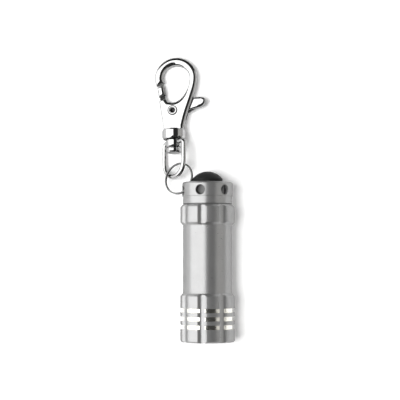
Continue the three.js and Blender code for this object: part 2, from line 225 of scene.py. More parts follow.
def skin(name, rows, place, loop=False):
    """A closed skin over rows of points. A row of one point is a pole."""
    starts = np.cumsum([0] + [len(row) for row in rows])
    faces = []
    pairs = list(zip(range(len(rows) - 1), range(1, len(rows))))
    if loop:
        pairs.append((len(rows) - 1, 0))
    for low, high in pairs:
        count = max(len(rows[low]), len(rows[high]))
        for i in range(count):
            j = (i + 1) % count
            if len(rows[low]) == 1:
                face = (starts[low], starts[high] + i, starts[high] + j)
            elif len(rows[high]) == 1:
                face = (starts[low] + i, starts[low] + j, starts[high])
            else:
                face = (starts[low] + i, starts[low] + j, starts[high] + j, starts[high] + i)
            faces.append(tuple(int(v) for v in face))
    return object_of(name, np.concatenate(rows), faces, place)


def ring_of_points(radii, station, angles):
    return np.stack([radii * np.sin(angles), np.full_like(angles, station), radii * np.cos(angles)], axis=1)


def turned(name, corners, place, sides=96, steps=5, shape=None, angles=None, step=None):
    """A solid turned about Y. shape(radius, station, angles) may change the radius round the axis."""
    closed = corners[0][0] > 0
    points = rounded(corners, closed, steps)
    if step:
        points = densified(points, step, closed)
    if angles is None:
        angles = np.arange(sides) * TAU / sides
    rows = []
    for radius, station in points:
        if radius < 1e-6:
            rows.append(np.array([[0.0, station, 0.0]]))
            continue
        radii = np.full_like(angles, radius) if shape is None else shape(radius, station, angles)
        rows.append(ring_of_points(radii, station, angles))
    return skin(name, rows, place, loop=closed)


def section_of(width, height, fillet):
    """A rounded rectangle as points round its middle."""
    x, y = width / 2, height / 2
    corners = [(-x, -y, fillet), (x, -y, fillet), (x, y, fillet), (-x, y, fillet)]
    return np.array(rounded(corners, steps=3))


def round_section(radius, sides):
    angles = np.arange(sides) * TAU / sides
    return np.stack([radius * np.cos(angles), radius * np.sin(angles)], axis=1)


def coil(name, section, turns, radius_at, station_at, place, steps_a_turn=72):
    """A bar wound about Y, with its two ends closed."""
    steps = max(8, round(turns * steps_a_turn))
    rows = []
    for i in range(steps + 1):
        along = i / steps
        angle = -along * turns * TAU
        radial = radius_at(along) + section[:, 0]
        x, z = radial * math.sin(angle), radial * math.cos(angle)
        rows.append(np.stack([x, section[:, 1] + station_at(along), z], axis=1))
    rows.insert(0, rows[0].mean(0, keepdims=True))
    rows.append(rows[-1].mean(0, keepdims=True))
    return skin(name, rows, place)


def polygon(*corners):
    return [np.array(corner, float) for corner in corners]


def arc_points(centre, radius, start, end, step=0.25):
    count = max(2, math.ceil(abs(math.radians(end - start)) * radius / step))
    angles = np.radians(np.linspace(start, end, count + 1))
    return [np.array([centre[0] + radius * math.cos(a), centre[1] + radius * math.sin(a)]) for a in angles]


def bezier_points(start, control_a, control_b, end, count=28):
    out = []
    for t in np.linspace(0, 1, count + 1):
        weights = ((1 - t) ** 3, 3 * t * (1 - t) ** 2, 3 * t * t * (1 - t), t**3)
        out.append(sum(w * np.array(p, float) for w, p in zip(weights, (start, control_a, control_b, end))))
    return out


def cleared(outline, edge, crease=25.0, spare=0.06):
    """The outline without doubled points or those near a sharp corner, where the rounding needs room."""
    points = [p for i, p in enumerate(outline) if np.linalg.norm(p - outline[i - 1]) > 1e-3]
    sharp = []
    for i, here in enumerate(points):
        before = here - points[i - 1]
        after = points[(i + 1) % len(points)] - here
        turn = abs(math.degrees(math.atan2(before[0] * after[1] - before[1] * after[0], before @ after)))
        if turn > crease:
            sharp.append((i, edge * math.tan(math.radians(min(turn, 150)) / 2) + spare))
    kept = []
    for i, here in enumerate(points):
        near = [s for s, room in sharp if s != i and np.linalg.norm(here - points[s]) < room]
        if not near or any(i == s for s, _ in sharp):
            kept.append(here)
    return kept


def widths(points, inward, nearest=0.3, farthest=50.0):
    """How far it is from each point of an outline, along its inward normal, to the other side."""
    ends = np.roll(points, -1, 0)
    found = np.full(len(points), farthest)
    for i, (here, way) in enumerate(zip(points, inward)):
        edge = ends - points
        across = way[0] * edge[:, 1] - way[1] * edge[:, 0]
        offset = points - here
        with np.errstate(divide="ignore", invalid="ignore"):
            far = (offset[:, 0] * edge[:, 1] - offset[:, 1] * edge[:, 0]) / across
            along = (offset[:, 0] * way[1] - offset[:, 1] * way[0]) / across
        hit = (np.abs(across) > 1e-9) & (far > nearest) & (along >= 0) & (along <= 1)
        if hit.any():
            found[i] = far[hit].min()
    # a step from one distance to the next would show as a kink, so it is evened out
    lowest = np.min([np.roll(found, shift) for shift in (-1, 0, 1)], axis=0)
    return np.mean([np.roll(lowest, shift) for shift in (-1, 0, 1)], axis=0)


def plate(name, outline, low, high, edge, place, steps=6, drop=None):
    """A plate in XY from low to high, with its edges rounded over: edge across, drop down the thickness."""
    drop = edge if drop is None else drop
    points = np.array(cleared(outline, edge))
    before = points - np.roll(points, 1, 0)
    after = np.roll(points, -1, 0) - points
    before /= np.linalg.norm(before, axis=1, keepdims=True)
    after /= np.linalg.norm(after, axis=1, keepdims=True)
    inward = np.stack([-(before + after)[:, 1], (before + after)[:, 0]], axis=1)
    inward /= np.linalg.norm(inward, axis=1, keepdims=True)
    reach = 1 / np.maximum(0.35, np.abs(inward[:, 0] * -before[:, 1] + inward[:, 1] * before[:, 0]))
    x, y = points[:, 0], points[:, 1]
    if np.sum(x * np.roll(y, -1) - y * np.roll(x, -1)) < 0:
        inward = -inward
    insets = np.minimum(edge, 0.475 * widths(points, inward)) if edge > 0 else np.zeros(len(points))
    levels = []
    for k in range(steps + 1 if edge > 0 else 1):
        angle = math.pi / 2 * k / steps
        levels.append((1 - math.sin(angle), low + drop * (1 - math.cos(angle))))
    levels += [(share, low + high - level) for share, level in reversed(levels)]
    rows = []
    for share, level in levels:
        ring = points + inward * (reach * insets * share)[:, None]
        rows.append(np.column_stack([ring, np.full(len(ring), level)]))
    count = len(points)
    faces = [tuple(range(count)), tuple(range((len(rows) - 1) * count, len(rows) * count))]
    for row in range(len(rows) - 1):
        for i in range(count):
            j = (i + 1) % count
            faces.append((row * count + i, row * count + j, (row + 1) * count + j, (row + 1) * count + i))
    return object_of(name, np.concatenate(rows), faces, place)


def swept(name, path, section, place):
    """A bar along an open path in the XY plane."""
    path = np.array(path, float)
    forward = np.gradient(path, axis=0)
    forward /= np.linalg.norm(forward, axis=1, keepdims=True)
    side = np.stack([-forward[:, 1], forward[:, 0]], axis=1)
    rows = []
    for point, across in zip(path, side):
        flat = point + section[:, :1] * across
        rows.append(np.column_stack([flat, section[:, 1]]))
    rows.insert(0, rows[0].mean(0, keepdims=True))
    rows.append(rows[-1].mean(0, keepdims=True))
    return skin(name, rows, place)


# ------------------------------------------------------------ solids from solids
def worked(piece, operation, others):
    """piece after a boolean with each of the others, which are used up."""
    for other in others:
        modifier = piece.modifiers.new("work", "BOOLEAN")
        modifier.operation = operation
        modifier.solver = "EXACT"
        modifier.object = other
        graph = bpy.context.evaluated_depsgraph_get()
        mesh = bpy.data.meshes.new_from_object(piece.evaluated_get(graph))
        piece.modifiers.clear()
        piece.data = mesh
        bpy.data.objects.remove(other)
    return piece


def second_finish(piece, place, inside):
    """Gives the faces whose middle is inside the piece's second material.

    inside(x, y, z) is asked in millimetres, in the frame of place.
    """
    back = place.inverted()
    for face in piece.data.polygons:
        face.material_index = 1 if inside(*(back @ face.center)) else 0


def finished(piece, body, nodes, materials, crease=32.0):
    """Shades and paints a piece, and has it ride a body and stand for CAD nodes."""
    mesh = piece.data
    for material in materials:
        mesh.materials.append(material)
    mesh.polygons.foreach_set("use_smooth", [True] * len(mesh.polygons))
    mesh.set_sharp_from_angle(angle=math.radians(crease))
    modifier = piece.modifiers.new("shading", "WEIGHTED_NORMAL")
    modifier.mode = "FACE_AREA_WITH_ANGLE"
    modifier.keep_sharp = True
    graph = bpy.context.evaluated_depsgraph_get()
    shaded = bpy.data.meshes.new_from_object(piece.evaluated_get(graph))
    piece.modifiers.clear()
    piece.data = shaded
    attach(piece, body)
    if nodes:
        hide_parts(*nodes)
    return piece


# ------------------------------------------------------------ materials
def node(tree, kind, **settings):
    made = tree.nodes.new(kind)
    for key, value in settings.items():
        if key in made.inputs:
            made.inputs[key].default_value = value
        else:
            setattr(made, key, value)
    return made


def shader(name, **inputs):
    """A new material with a Principled shader. Returns the material, its tree and the shader."""
    material = bpy.data.materials.new(name)
    material.use_nodes = True
    tree = material.node_tree
    principled = tree.nodes["Principled BSDF"]
    for key, value in inputs.items():
        principled.inputs[key.replace("_", " ")].default_value = value
    return material, tree, principled


def stretched_noise(tree, scale, stretch, detail=3.0, roughness=0.55):
    """Noise in object space, in features a metre, drawn out by stretch along each axis."""
    place = node(tree, "ShaderNodeTexCoord")
    mapping = node(tree, "ShaderNodeMapping")
    mapping.inputs["Scale"].default_value = stretch
    noise = node(tree, "ShaderNodeTexNoise", Scale=scale, Detail=detail, Roughness=roughness)
    tree.links.new(place.outputs["Object"], mapping.inputs["Vector"])
    tree.links.new(mapping.outputs["Vector"], noise.inputs["Vector"])
    return noise.outputs["Fac"]


def ranged(tree, value, low, high, start=0.3, end=0.7):
    """value, from start to end, mapped to low to high."""
    made = node(tree, "ShaderNodeMapRange")
    for key, number in (("From Min", start), ("From Max", end), ("To Min", low), ("To Max", high)):
        made.inputs[key].default_value = number
    tree.links.new(value, made.inputs["Value"])
    return made.outputs["Result"]


def tinted(tree, value, dark, light):
    """A colour that runs from dark to light with value."""
    ramp = node(tree, "ShaderNodeValToRGB")
    ramp.color_ramp.elements[0].color = (*dark, 1)
    ramp.color_ramp.elements[1].color = (*light, 1)
    tree.links.new(value, ramp.inputs["Fac"])
    return ramp.outputs["Color"]


def bumped(tree, principled, *layers):
    """Chains (height, distance in metres, strength) bumps into the shader's normal."""
    normal = None
    for height, distance, strength in layers:
        bump = node(tree, "ShaderNodeBump", Distance=distance, Strength=strength)
        tree.links.new(height, bump.inputs["Height"])
        if normal is not None:
            tree.links.new(normal, bump.inputs["Normal"])
        normal = bump.outputs["Normal"]
    tree.links.new(normal, principled.inputs["Normal"])


def grey(value, warm=0.0):
    return (value * (1 + warm), value, value * (1 - warm))


def anodised():
    """Satin grey anodised aluminium: blasted grain, faint turning lines and handling marks."""
    material, tree, principled = shader("anodised", Metallic=0.75)
    principled.inputs["Specular Tint"].default_value = (0.45, 0.45, 0.45, 1)  # dull at grazing angles
    grain = stretched_noise(tree, 14000, (1, 1, 1), 2.0)
    turning = stretched_noise(tree, 9000, (0.01, 1, 0.01), 2.0)
    clouds = stretched_noise(tree, 260, (1, 1, 1), 4.0)
    rubs = stretched_noise(tree, 1500, (0.25, 1, 0.6), 6.0, 0.7)
    shade = tinted(tree, ranged(tree, clouds, 0, 1), grey(0.362), grey(0.383))
    worn = node(tree, "ShaderNodeMix", data_type="RGBA", blend_type="MIX")
    tree.links.new(ranged(tree, rubs, 0, 0.4, 0.62, 0.8), worn.inputs["Factor"])
    tree.links.new(shade, worn.inputs["A"])
    worn.inputs["B"].default_value = (*grey(0.42), 1)
    tree.links.new(worn.outputs["Result"], principled.inputs["Base Color"])
    tree.links.new(ranged(tree, rubs, 0.27, 0.31), principled.inputs["Roughness"])
    bumped(tree, principled, (grain, 0.00002, 0.06), (turning, 0.00001, 0.05))
    return material


def bright_cut():
    """Bare turned aluminium of the grooves."""
    material, tree, principled = shader("bright_cut", Metallic=1.0)
    turning = stretched_noise(tree, 16000, (0.01, 1, 0.01), 2.0)
    clouds = stretched_noise(tree, 500, (1, 0.2, 1), 3.0)
    shade = tinted(tree, ranged(tree, clouds, 0, 1), (0.88, 0.86, 0.79), (0.95, 0.94, 0.88))
    tree.links.new(shade, principled.inputs["Base Color"])
    tree.links.new(ranged(tree, turning, 0.1, 0.24), principled.inputs["Roughness"])
    bumped(tree, principled, (turning, 0.00001, 0.2))
    return material


def chrome(name="chrome", low=0.03, high=0.12, level=0.53):
    """Plating over a cast or drawn core: a slow waviness, hairlines and a few dull spots."""
    material, tree, principled = shader(name, Metallic=1.0)
    principled.inputs["Specular Tint"].default_value = (0.42, 0.42, 0.42, 1)
    waves = stretched_noise(tree, 330, (1, 1, 1), 2.0)
    hairs = stretched_noise(tree, 5200, (1, 0.06, 1), 4.0, 0.7)
    spots = stretched_noise(tree, 1700, (1, 1, 1), 5.0, 0.65)
    shade = tinted(tree, ranged(tree, spots, 0, 1, 0.35, 0.62), grey(level - 0.05), grey(level + 0.03))
    tree.links.new(shade, principled.inputs["Base Color"])
    tree.links.new(ranged(tree, spots, high, low, 0.3, 0.6), principled.inputs["Roughness"])
    bumped(tree, principled, (waves, 0.00004, 0.25), (hairs, 0.000006, 0.15))
    return material


def rubber():
    """Matt black silicone with a fine moulded grain and dust in it."""
    material, tree, principled = shader("rubber", Specular_IOR_Level=0.22)
    grain = stretched_noise(tree, 9000, (1, 1, 1), 3.0)
    dust = stretched_noise(tree, 2600, (1, 1, 1), 6.0, 0.7)
    shade = tinted(tree, ranged(tree, dust, 0, 1, 0.45, 0.75), grey(0.008), grey(0.02))
    tree.links.new(shade, principled.inputs["Base Color"])
    tree.links.new(ranged(tree, dust, 0.5, 0.72), principled.inputs["Roughness"])
    bumped(tree, principled, (grain, 0.00004, 0.35))
    return material


def plastic(name, dark, light, rough=0.42):
    """Moulded plastic with a slight eggshell and flow marks."""
    material, tree, principled = shader(name)
    shell = stretched_noise(tree, 5200, (1, 1, 1), 2.0)
    flow = stretched_noise(tree, 420, (1, 0.35, 1), 4.0)
    tree.links.new(tinted(tree, ranged(tree, flow, 0, 1), dark, light), principled.inputs["Base Color"])
    tree.links.new(ranged(tree, shell, rough - 0.08, rough + 0.1), principled.inputs["Roughness"])
    bumped(tree, principled, (shell, 0.00003, 0.2))
    return material


def metal(name, dark, light, low, high):
    """Drawn or pressed metal with fine lines along it."""
    material, tree, principled = shader(name, Metallic=1.0)
    lines = stretched_noise(tree, 7000, (1, 0.08, 1), 3.0)
    clouds = stretched_noise(tree, 700, (1, 1, 1), 4.0)
    tree.links.new(tinted(tree, ranged(tree, clouds, 0, 1), dark, light), principled.inputs["Base Color"])
    tree.links.new(ranged(tree, lines, low, high), principled.inputs["Roughness"])
    bumped(tree, principled, (lines, 0.00001, 0.2))
    return material


def clear(name, tint, rough_low, rough_high):
    """Clear plastic with faint haze and a few fine scratches."""
    material, tree, principled = shader(name, IOR=1.49, Transmission_Weight=1.0)
    haze = stretched_noise(tree, 900, (1, 1, 1), 5.0, 0.7)
    scratch = stretched_noise(tree, 3200, (1, 1, 0.05), 3.0)
    tree.links.new(tinted(tree, haze, tint, grey(0.99)), principled.inputs["Base Color"])
    tree.links.new(ranged(tree, haze, rough_low, rough_high, 0.4, 0.7), principled.inputs["Roughness"])
    bumped(tree, principled, (scratch, 0.000004, 0.1))
    return material


def circuit_board():
    """Green laminate with darker copper tracks under the lacquer."""
    material, tree, principled = shader("circuit_board")
    place = node(tree, "ShaderNodeTexCoord")
    tracks = node(tree, "ShaderNodeTexBrick", Scale=600.0)
    tree.links.new(place.outputs["Object"], tracks.inputs["Vector"])
    tracks.inputs["Color1"].default_value = (0.02, 0.17, 0.08, 1)
    tracks.inputs["Color2"].default_value = (0.03, 0.22, 0.1, 1)
    tracks.inputs["Mortar"].default_value = (0.012, 0.1, 0.05, 1)
    tree.links.new(tracks.outputs["Color"], principled.inputs["Base Color"])
    weave = stretched_noise(tree, 4000, (1, 1, 1), 3.0)
    tree.links.new(ranged(tree, weave, 0.25, 0.45), principled.inputs["Roughness"])
    bumped(tree, principled, (tracks.outputs["Fac"], 0.00002, 0.4))
    return material


ANODISED = anodised()
# painted shade: a dark grey standing in for the shade in the tail cap's recess, on its hub and in its holes
RECESS_PAINTED_SHADE = plastic("anodised_painted_shade", grey(0.11), grey(0.17), 0.4)
BRIGHT = bright_cut()
CHROME = chrome()
PLATED = chrome("plated_plastic", 0.03, 0.09, 0.86)
RUBBER = rubber()
BLACK = plastic("black_plastic", grey(0.012), grey(0.03))
SLEEVE = plastic("sleeve_plastic", grey(0.02), grey(0.045), 0.5)
SPRING = metal("spring_steel", grey(0.52), grey(0.66), 0.16, 0.3)
CAN = metal("cell_can", grey(0.6, 0.01), grey(0.72, 0.01), 0.14, 0.28)
RING_STEEL = chrome("ring_steel", 0.1, 0.22, 0.15)
# painted shade: near-black steel standing in for the shade on the gate's arm and in the rivet's hollow and
# skirt
PAINTED_SHADE_STEEL = metal("painted_shade_steel", grey(0.03), grey(0.06), 0.35, 0.5)
BRASS = metal("brass", (0.55, 0.38, 0.15), (0.7, 0.52, 0.25), 0.2, 0.34)
LENS = clear("lens_plastic", (0.95, 0.975, 0.98), 0.0, 0.04)
EPOXY = clear("led_epoxy", (0.93, 0.96, 0.95), 0.0, 0.05)
BOARD = circuit_board()


# ------------------------------------------------------------ barrel
def flute_angles():
    """Angles round the torch, close together where a flute's edges run."""
    half = np.concatenate(
        [
            np.linspace(0.0, 4.6, 6, endpoint=False),
            np.linspace(4.6, 6.2, 7, endpoint=False),
            np.linspace(6.2, 8.4, 3, endpoint=False),
            np.linspace(8.4, 10.4, 9, endpoint=False),
            np.linspace(10.4, 22.5, 7),
        ]
    )
    sector = np.concatenate([-half[:0:-1], half[:-1]])
    turns = FLUTE_TURN + np.arange(FLUTE_COUNT) * 360 / FLUTE_COUNT
    return np.radians(np.concatenate([turn + sector for turn in turns]))


def flute_radius(angles):
    """How far from the axis the flutes' surface is, at each angle."""
    distance = LAND_RADIUS - FLUTE_DEPTH + FLUTE_CUTTER
    sector = TAU / FLUTE_COUNT
    local = (angles - math.radians(FLUTE_TURN) + sector / 2) % sector - sector / 2
    under = FLUTE_CUTTER**2 - (distance * np.sin(local)) ** 2
    return np.where(under > 0, distance * np.cos(local) - np.sqrt(np.maximum(under, 0)), LAND_RADIUS + 4)


def soft_smaller(a, b, blend=0.025):
    """The smaller of two radii, with the edge between them broken by about blend."""
    return np.minimum(a, b) - blend * np.log1p(np.exp(-np.abs(a - b) / blend))


def fluted(radius, station, angles):
    """The barrel's outside, with the flutes cut into its head and grip."""
    inside = radius < TUBE_RADIUS - 0.3
    if inside or HEAD_END + 0.3 < station < GRIP_START - 0.3:
        return np.full_like(angles, radius)
    return soft_smaller(np.full_like(angles, radius), flute_radius(angles))


def groove_corners():
    corners = []
    for middle in GROOVES:
        low, high = middle - GROOVE_WIDTH / 2, middle + GROOVE_WIDTH / 2
        bottom = LAND_RADIUS - GROOVE_DEPTH
        corners += [(LAND_RADIUS, low, 0.07), (bottom, low, 0.14)]
        corners += [(bottom, high, 0.14), (LAND_RADIUS, high, 0.07)]
    return corners


def bare_groove(x, y, z):
    """Whether a place on the barrel is in a groove that was cut after anodising, outside the flutes."""
    radius = math.hypot(x, z)
    in_groove = any(abs(y - middle) < GROOVE_WIDTH / 2 + 0.02 for middle in GROOVES)
    if not in_groove or not LAND_RADIUS - 0.7 < radius < LAND_RADIUS - 0.03:
        return False
    return flute_radius(np.array([math.atan2(x, z)]))[0] > radius + 0.03


def thread_wave(station, angles):
    """0 at the root of a thread, 1 at its crest, with a flat on each."""
    phase = (station / THREAD_PITCH - angles / TAU) % 1.0
    return np.clip(1.35 * (1 - np.abs(2 * phase - 1)) - 0.1, 0, 1)


def barrel():
    corners = [
        (LAMP_BORE, 0, 0.12),
        (LAND_RADIUS - 0.5, 0, 0.1),
        (LAND_RADIUS, 0.5, 0.12),
        *groove_corners(),
        (LAND_RADIUS, HEAD_END - 1, 0.12),
        (TUBE_RADIUS, HEAD_END, 0.1),
        (TUBE_RADIUS, GRIP_START, 0.1),
        (LAND_RADIUS, GRIP_START + 1, 0.12),
        (LAND_RADIUS, BARREL_END - 1, 0.12),
        (TUBE_RADIUS, BARREL_END, 0.08),
        (THREAD_BORE, BARREL_END, 0.15),
        (THREAD_BORE, THREAD_BORE_START, 0.1),
        (CELL_BORE, THREAD_BORE_START - 1, 0.1),
        (CELL_BORE, LAMP_BORE_END, 0.1),
        (LAMP_BORE, LAMP_BORE_END, 0.1),
    ]
    piece = turned("barrel_shell", corners, TORCH, shape=fluted, angles=flute_angles(), steps=4, step=0.9)
    second_finish(piece, TORCH, bare_groove)
    finished(piece, "barrel", ["barrel"], [ANODISED, BRIGHT])


# ------------------------------------------------------------ lamp
def lamp():
    bezel = [(7.6, 0.3, 0.12), (8.3, 0.3, 0.1), (8.3, 1.95, 0.1), (7.1, 1.95, 0.08), (7.1, 0.9, 0.1)]
    piece = turned("bezel_ring_turned", bezel, TORCH)
    finished(piece, "barrel", ["bezel_ring"], [ANODISED])
    disc = [(0, 2.1), (LAMP_RADIUS - 0.2, 2.1, 0.05), (LAMP_RADIUS, 2.3, 0.05)]
    disc += [(LAMP_RADIUS, 3.3, 0.1), (0, 3.3)]
    piece = turned("lens_disc", disc, TORCH)
    finished(piece, "barrel", ["lens"], [LENS])
    seal = [(7.4, 3.45, 0.15), (LAMP_RADIUS, 3.45, 0.15), (LAMP_RADIUS, 3.9, 0.15), (7.4, 3.9, 0.15)]
    piece = turned("lens_gasket_ring", seal, TORCH)
    finished(piece, "barrel", ["lens_gasket"], [RUBBER])


def led_place(index):
    turn = Matrix.Rotation(index * TAU / LED_COUNT, 4, "Y")
    return TORCH @ turn @ Matrix.Translation((0, 0, LED_CIRCLE))


def reflector():
    front, back = 4.0, 11.5
    mouth, narrowing = 3.55, 0.9
    blank = [(0, front), (LAMP_RADIUS, front, 0.2), (LAMP_RADIUS, back, 0.2), (0, back)]
    piece = turned("reflector_dish", blank, TORCH)
    cups = []
    for index in range(LED_COUNT):
        wall = [(0.0, front - 0.1)]
        for k in range(11):
            t = k / 10
            wall.append((mouth - narrowing * t**2.2, front - 0.1 + (back - front + 0.2) * t))
        wall.append((0.0, back + 0.1))
        cups.append(turned(f"cup_{index}", wall, led_place(index), sides=64))
    worked(piece, "DIFFERENCE", cups)
    finished(piece, "barrel", ["reflector"], [PLATED])


def led(index):
    dome = [(0.0, 4.5)]
    for k in range(1, 11):
        angle = math.pi / 2 * k / 10
        dome.append((LED_RADIUS * math.sin(angle), 7.0 - 2.5 * math.cos(angle)))
    foot = LED_RADIUS + 0.4
    dome += [(LED_RADIUS, 11.9, 0.1), (foot, 11.9, 0.1), (foot, 12.9, 0.1), (0, 12.9)]
    place = led_place(index)
    body = turned(f"led_body_{index + 1}", dome, place, sides=48)
    finished(body, "barrel", [f"led_{index + 1}"], [EPOXY])
    cup = [(0, 9.2), (0.45, 9.2, 0.05), (0.85, 8.6, 0.05), (0.95, 8.6, 0.03)]
    cup += [(0.95, 9.9, 0.05), (0.35, 10.2), (0.35, 12.6), (0, 12.6)]
    anvil = turned(f"led_anvil_{index + 1}", cup, place, sides=32)
    finished(anvil, "barrel", [], [SPRING])
    chip = [(0, 8.9), (0.4, 8.95, 0.08), (0.42, 9.15, 0.03), (0, 9.15)]
    die = turned(f"led_die_{index + 1}", chip, place, sides=24)
    phosphor = plastic(f"phosphor_{index + 1}", (0.75, 0.6, 0.08), (0.9, 0.75, 0.15), 0.5)
    finished(die, "barrel", [], [phosphor])


def lamp_back():
    disc = [(0, 13.15), (LAMP_RADIUS, 13.15, 0.1), (LAMP_RADIUS, 14.3, 0.1), (0, 14.3)]
    piece = turned("led_board_disc", disc, TORCH)
    finished(piece, "barrel", ["led_board"], [BOARD])


def spring(name, node_name, body, start, end, radii, turns):
    wire = 0.25
    piece = coil(
        name,
        round_section(wire, 12),
        turns,
        lambda t: radii[0] + (radii[1] - radii[0]) * t,
        lambda t: start + wire + (end - start - 2 * wire) * t,
        TORCH,
        48,
    )
    finished(piece, body, [node_name], [SPRING])


# ------------------------------------------------------------ cells
def on_gasket(top):
    """A test for the places on the plastic ring round a cell's cap."""
    inner, outer = CELL_RADIUS - 1.0, CELL_RADIUS - 0.72
    return lambda x, y, z: y > top - 0.45 and inner < math.hypot(x, z) < outer


def cells():
    tube = [(6, 18.4, 0.15), (6.85, 18.4, 0.15), (6.85, 41.4, 0.15), (6, 41.4, 0.15)]
    sleeve = turned("battery_sleeve_tube", tube, TORCH)
    finished(sleeve, "barrel", ["battery_sleeve"], [SLEEVE])
    for index in range(CELL_COUNT):
        low = CELL_FIRST + index * CELL_PITCH
        top = low + CELL_HEIGHT
        can = [
            (0, low),
            (CELL_RADIUS, low, 0.25),
            (CELL_RADIUS, top - 0.45, 0.3),
            (CELL_RADIUS - 0.75, top - 0.28, 0.08),
            (CELL_RADIUS - 0.8, top - 0.4, 0.04),
            (CELL_RADIUS - 0.95, top - 0.4, 0.04),
            (CELL_RADIUS - 1.05, top, 0.12),
            (0, top),
        ]
        piece = turned(f"button_cell_{index + 1}", can, TORCH, sides=72)
        second_finish(piece, TORCH, on_gasket(top))
        finished(piece, "barrel", [f"cell_{index + 1}"], [CAN, BLACK])


# ------------------------------------------------------------ tail cap
def cap_thread(radius, station, angles):
    """The tail cap, with the thread cut into its neck."""
    if abs(radius - THREAD_CREST) > 0.02 or not THREAD_START < station < THREAD_END:
        return np.full_like(angles, radius)
    from_end = min(station - THREAD_START, THREAD_END - station)
    depth = THREAD_DEPTH * min(1.0, from_end / THREAD_RUN_OUT)
    return radius - THREAD_SET_BACK - depth * (1 - thread_wave(station, angles))


def hole_cutter(index):
    """A drill that flares out to both walls of the rim, so that the hole's edges are broken."""
    reach, steps = 2.2, 24
    middle = (RIM_INNER + FLANGE_RADIUS) / 2
    outer_start = FLANGE_RADIUS - middle - 0.45
    inner_start = middle - RIM_INNER - 0.12
    profile = [(0.0, -reach)]
    for k in range(steps + 1):
        along = -reach + 2 * reach * k / steps
        outer = 0.45 * max(0.0, along - outer_start) ** 1.6
        inner = 0.6 * max(0.0, -along - inner_start) ** 1.5
        profile.append((HOLE_RADIUS + outer + inner, along))
    profile.append((0.0, reach))
    angle = math.radians(HOLE_TURN + index * 360 / HOLE_COUNT)
    turn = Matrix.Rotation(angle, 4, "Y") @ Matrix.Translation((0, HOLE_STATION, middle))
    return turned(f"drill_{index}", profile, TORCH @ turn @ Matrix.Rotation(math.pi / 2, 4, "X"), sides=48)


def in_painted_shade_recess(x, y, z):
    """Whether a place on the tail cap gets painted shade: in its recess, on the hub or rim's end, or well
    inside a hole.
    """
    return y > RECESS_FLOOR - 0.1 and math.hypot(x, z) < RIM_INNER + 0.7


def tailcap():
    corners = [
        (CAP_BORE, NECK_START, 0.1),
        (THREAD_CREST - 0.4, NECK_START, 0.05),
        (THREAD_CREST, NECK_START + 0.4, 0.02),
        (THREAD_CREST, SEAL_START, 0.08),
        (SEAL_FLOOR, SEAL_START, 0.08),
        (SEAL_FLOOR, SEAL_END, 0.08),
        (THREAD_CREST, SEAL_END, 0.08),
        (THREAD_CREST, CAP_START, 0.03),
        (CAP_RADIUS, CAP_START, 0.12),
        (CAP_RADIUS, FLANGE_START, 0.06),
        (FLANGE_RADIUS, FLANGE_START, 0.12),
        (FLANGE_RADIUS, FLANGE_END - 0.6, 0.12),
        (FLANGE_RADIUS - 0.4, FLANGE_END, 0.1),
        (RIM_INNER, FLANGE_END, 0.2),
        (RIM_INNER, RECESS_FLOOR, 0.25),
        (HUB_RADIUS, RECESS_FLOOR, 0.12),
        (HUB_RADIUS, HUB_TOP, 0.06),
        (BOOT_BORE, HUB_TOP, 0.06),
        (BOOT_BORE, BOOT_STEP, 0.05),
        (CAP_BORE, BOOT_STEP, 0.05),
    ]
    points = rounded(corners, steps=6)
    fine = []
    for i, here in enumerate(points):
        there = points[(i + 1) % len(points)]
        on_crest = min(here[0], there[0]) > THREAD_CREST - 0.01 and here[1] < THREAD_END
        pieces = 60 if on_crest and abs(here[1] - there[1]) > 1 else 1
        fine.extend(here + (there - here) * k / pieces for k in range(pieces))
    piece = turned("tailcap_body", [tuple(p) for p in fine], TORCH, sides=144, shape=cap_thread)
    worked(piece, "DIFFERENCE", [hole_cutter(index) for index in range(HOLE_COUNT)])
    # painted shade on the recess, the hub and the hole walls
    second_finish(piece, TORCH, in_painted_shade_recess)
    finished(piece, "tailcap", ["tailcap"], [ANODISED, RECESS_PAINTED_SHADE])


def tail_seal():
    section = round_section(0.42, 16)
    profile = [(7.45 + x, 49.7 + y) for x, y in section]
    piece = turned("tail_seal_ring", profile, TORCH)
    finished(piece, "cap_slide", ["tail_seal"], [RUBBER])


def button():
    wall = 0.9
    dome_radius = 7.0
    centre = BUTTON_TOP - dome_radius
    start = math.asin(BOOT_RADIUS / dome_radius)
    lip, lip_start, lip_end = 6.2, 51.9, 52.7
    profile = [
        (0, BUTTON_TOP - wall),
        (3, BUTTON_TOP - wall - 0.7, 1.0),
        (BOOT_RADIUS - wall, BUTTON_TOP - 2.9, 0.5),
        (BOOT_RADIUS - wall, lip_start, 0.1),
        (lip, lip_start, 0.1),
        (lip, lip_end, 0.15),
        (BOOT_RADIUS, lip_end, 0.1),
    ]
    shoulder = (dome_radius * math.sin(start), centre + dome_radius * math.cos(start), 0.35)
    profile.append(shoulder)
    for k in range(1, 17):
        angle = start * (1 - k / 16)
        profile.append((dome_radius * math.sin(angle), centre + dome_radius * math.cos(angle)))
    profile[-1] = (0, BUTTON_TOP)
    piece = turned("button_dome", profile, TORCH)
    finished(piece, "button", ["button_boot"], [RUBBER])
    stem = [(0, 49.2), (1.9, 49.2, 0.15), (1.9, 58.2, 0.3), (3.6, 58.9, 0.1)]
    stem += [(3.6, 59.6, 0.1), (2.4, 60.6, 0.3), (0, 60.8)]
    piece = turned("plunger_stem", stem, TORCH, sides=48)
    finished(piece, "button", ["switch_plunger"], [BLACK])


